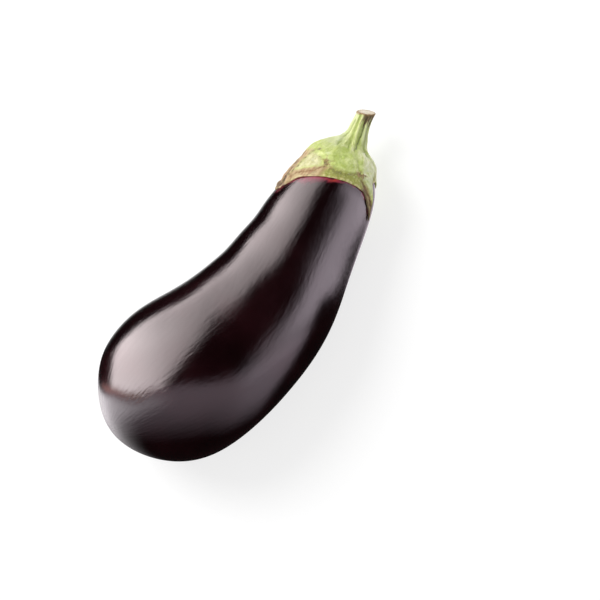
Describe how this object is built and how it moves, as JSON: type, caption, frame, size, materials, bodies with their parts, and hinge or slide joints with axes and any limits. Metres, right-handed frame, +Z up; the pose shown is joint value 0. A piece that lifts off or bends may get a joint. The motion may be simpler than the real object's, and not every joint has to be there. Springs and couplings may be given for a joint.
{
  "type": "eggplant",
  "caption": "Whole glossy eggplant lying on its side, with a lobed green calyx and a short cut stem.",
  "frame": {"origin": "under the middle of the whole, on the surface that the eggplant lies on", "axes": "+Z up, +X from the round blossom end to the cut stem, +Y toward the inside of the bend"},
  "size_m": [0.218, 0.089, 0.0855],
  "materials": {
    "skin": "smooth, waxy, very glossy, near-black purple skin",
    "calyx": "satin pale green flesh with fibrous ribs and dry tan edges"
  },
  "bodies": {
    "root": {"fruit": "skin", "calyx_and_stem": "calyx"}
  },
  "joints": []
}
